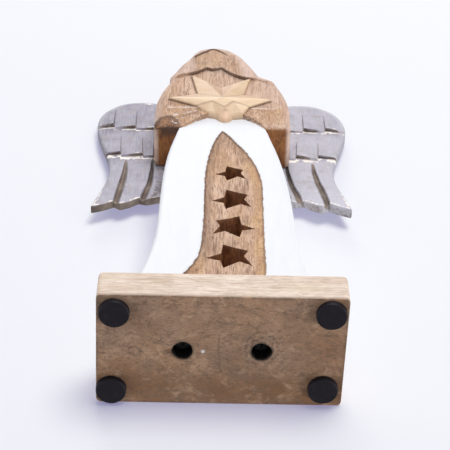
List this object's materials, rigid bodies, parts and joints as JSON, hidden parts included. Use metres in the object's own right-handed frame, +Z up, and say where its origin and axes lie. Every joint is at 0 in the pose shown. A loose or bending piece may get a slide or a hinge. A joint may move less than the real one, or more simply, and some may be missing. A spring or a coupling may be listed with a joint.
{
  "type": "carved wooden angel figurine",
  "caption": "Standing angel carved from a thick wooden board, with a pierced panel, a relief star and cast metal wings, screwed to a wooden base on rubber feet.",
  "frame": {"origin": "middle of the base's footprint, at the level that the rubber feet stand on", "axes": "+Z up the figure; the figure faces -Y; +X to the viewer's right"},
  "size_m": [0.153, 0.063, 0.319],
  "materials": {
    "base_wood": "raw sanded mango wood, dark stained underneath",
    "carved_wood": "carved and sanded mango wood, robe painted matt white",
    "star_wood": "smooth pale mango wood",
    "wing_metal": "sand cast, burnished edges, brown patina in the grooves",
    "foot_rubber": "matt black",
    "screw_black": "black phosphate steel",
    "screw_zinc": "zinc plated steel"
  },
  "bodies": {
    "root": {"base_block": "base_wood", "angel_body": "carved_wood", "chest_star": "star_wood", "wing_left": "wing_metal", "wing_right": "wing_metal", "foot_front_left": "foot_rubber", "foot_front_right": "foot_rubber", "foot_back_left": "foot_rubber", "foot_back_right": "foot_rubber", "base_screw_left": "screw_black", "base_screw_right": "screw_black", "wing_screw_left_upper": "screw_zinc", "wing_screw_left_lower": "screw_zinc", "wing_screw_right_upper": "screw_zinc", "wing_screw_right_lower": "screw_zinc"}
  },
  "joints": []
}
